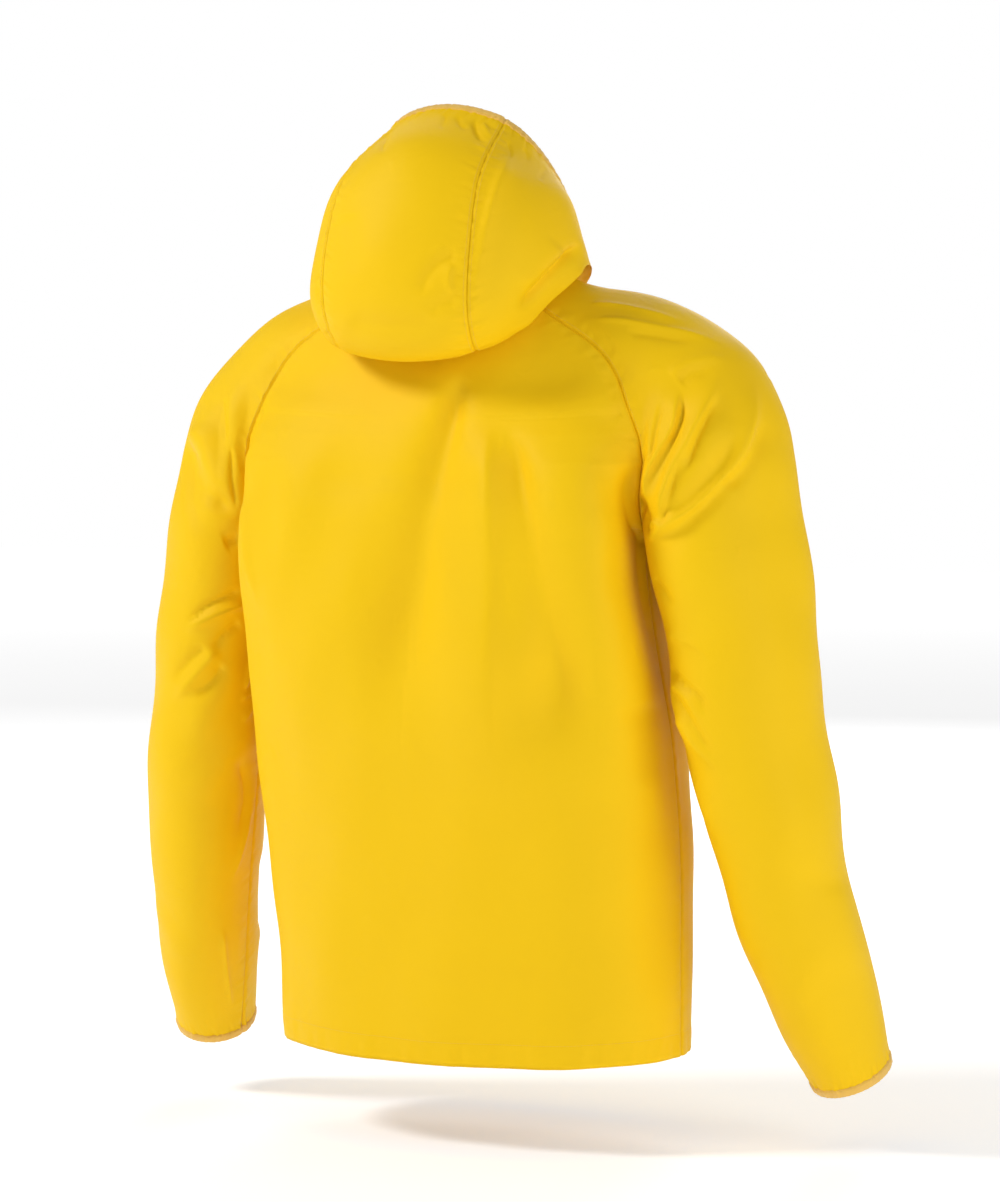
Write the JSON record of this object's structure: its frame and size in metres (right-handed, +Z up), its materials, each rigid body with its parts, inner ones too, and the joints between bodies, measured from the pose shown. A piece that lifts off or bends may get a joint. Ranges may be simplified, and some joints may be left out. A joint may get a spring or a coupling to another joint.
{
  "type": "hooded windbreaker jacket",
  "caption": "Hooded zip-front windbreaker with raglan sleeves, elastic-bound hood and cuffs and a plain turned hem, filled out as worn and open at neck, cuffs and hem.",
  "frame": {"origin": "middle of the neck, level with the nape, where the wearer's neck and shoulders carry the jacket", "axes": "+Z up, the front faces -Y and the wearer's left is +X"},
  "size_m": [0.7484, 0.308, 0.8899],
  "materials": {
    "shell": "bright yellow fine-woven windproof cloth with a soft sheen",
    "binding": "matt orange-tan folded elastic",
    "zip_tape": "matt yellow woven zip tape with nylon coil",
    "zip_metal": "satin yellow enamel"
  },
  "bodies": {
    "jacket": {"back": "shell", "hood_centre": "shell", "hood_binding": "binding", "front_left": "shell", "front_right": "shell", "sleeve_left": "shell", "sleeve_right": "shell", "hood_left": "shell", "hood_right": "shell", "cuff_binding_left": "binding", "cuff_binding_right": "binding", "zip_tape_left": "zip_tape", "zip_tape_right": "zip_tape", "zip_slider": "zip_metal"},
    "pull": {"zip_pull": "zip_metal"}
  },
  "joints": [
    {"name": "pull_hinge", "type": "hinge", "parent": "jacket", "child": "pull", "pos_m": [0, -0.05289, -0.00103], "axis": [-1, 0, 0], "range_deg": [0, 150]}
  ]
}
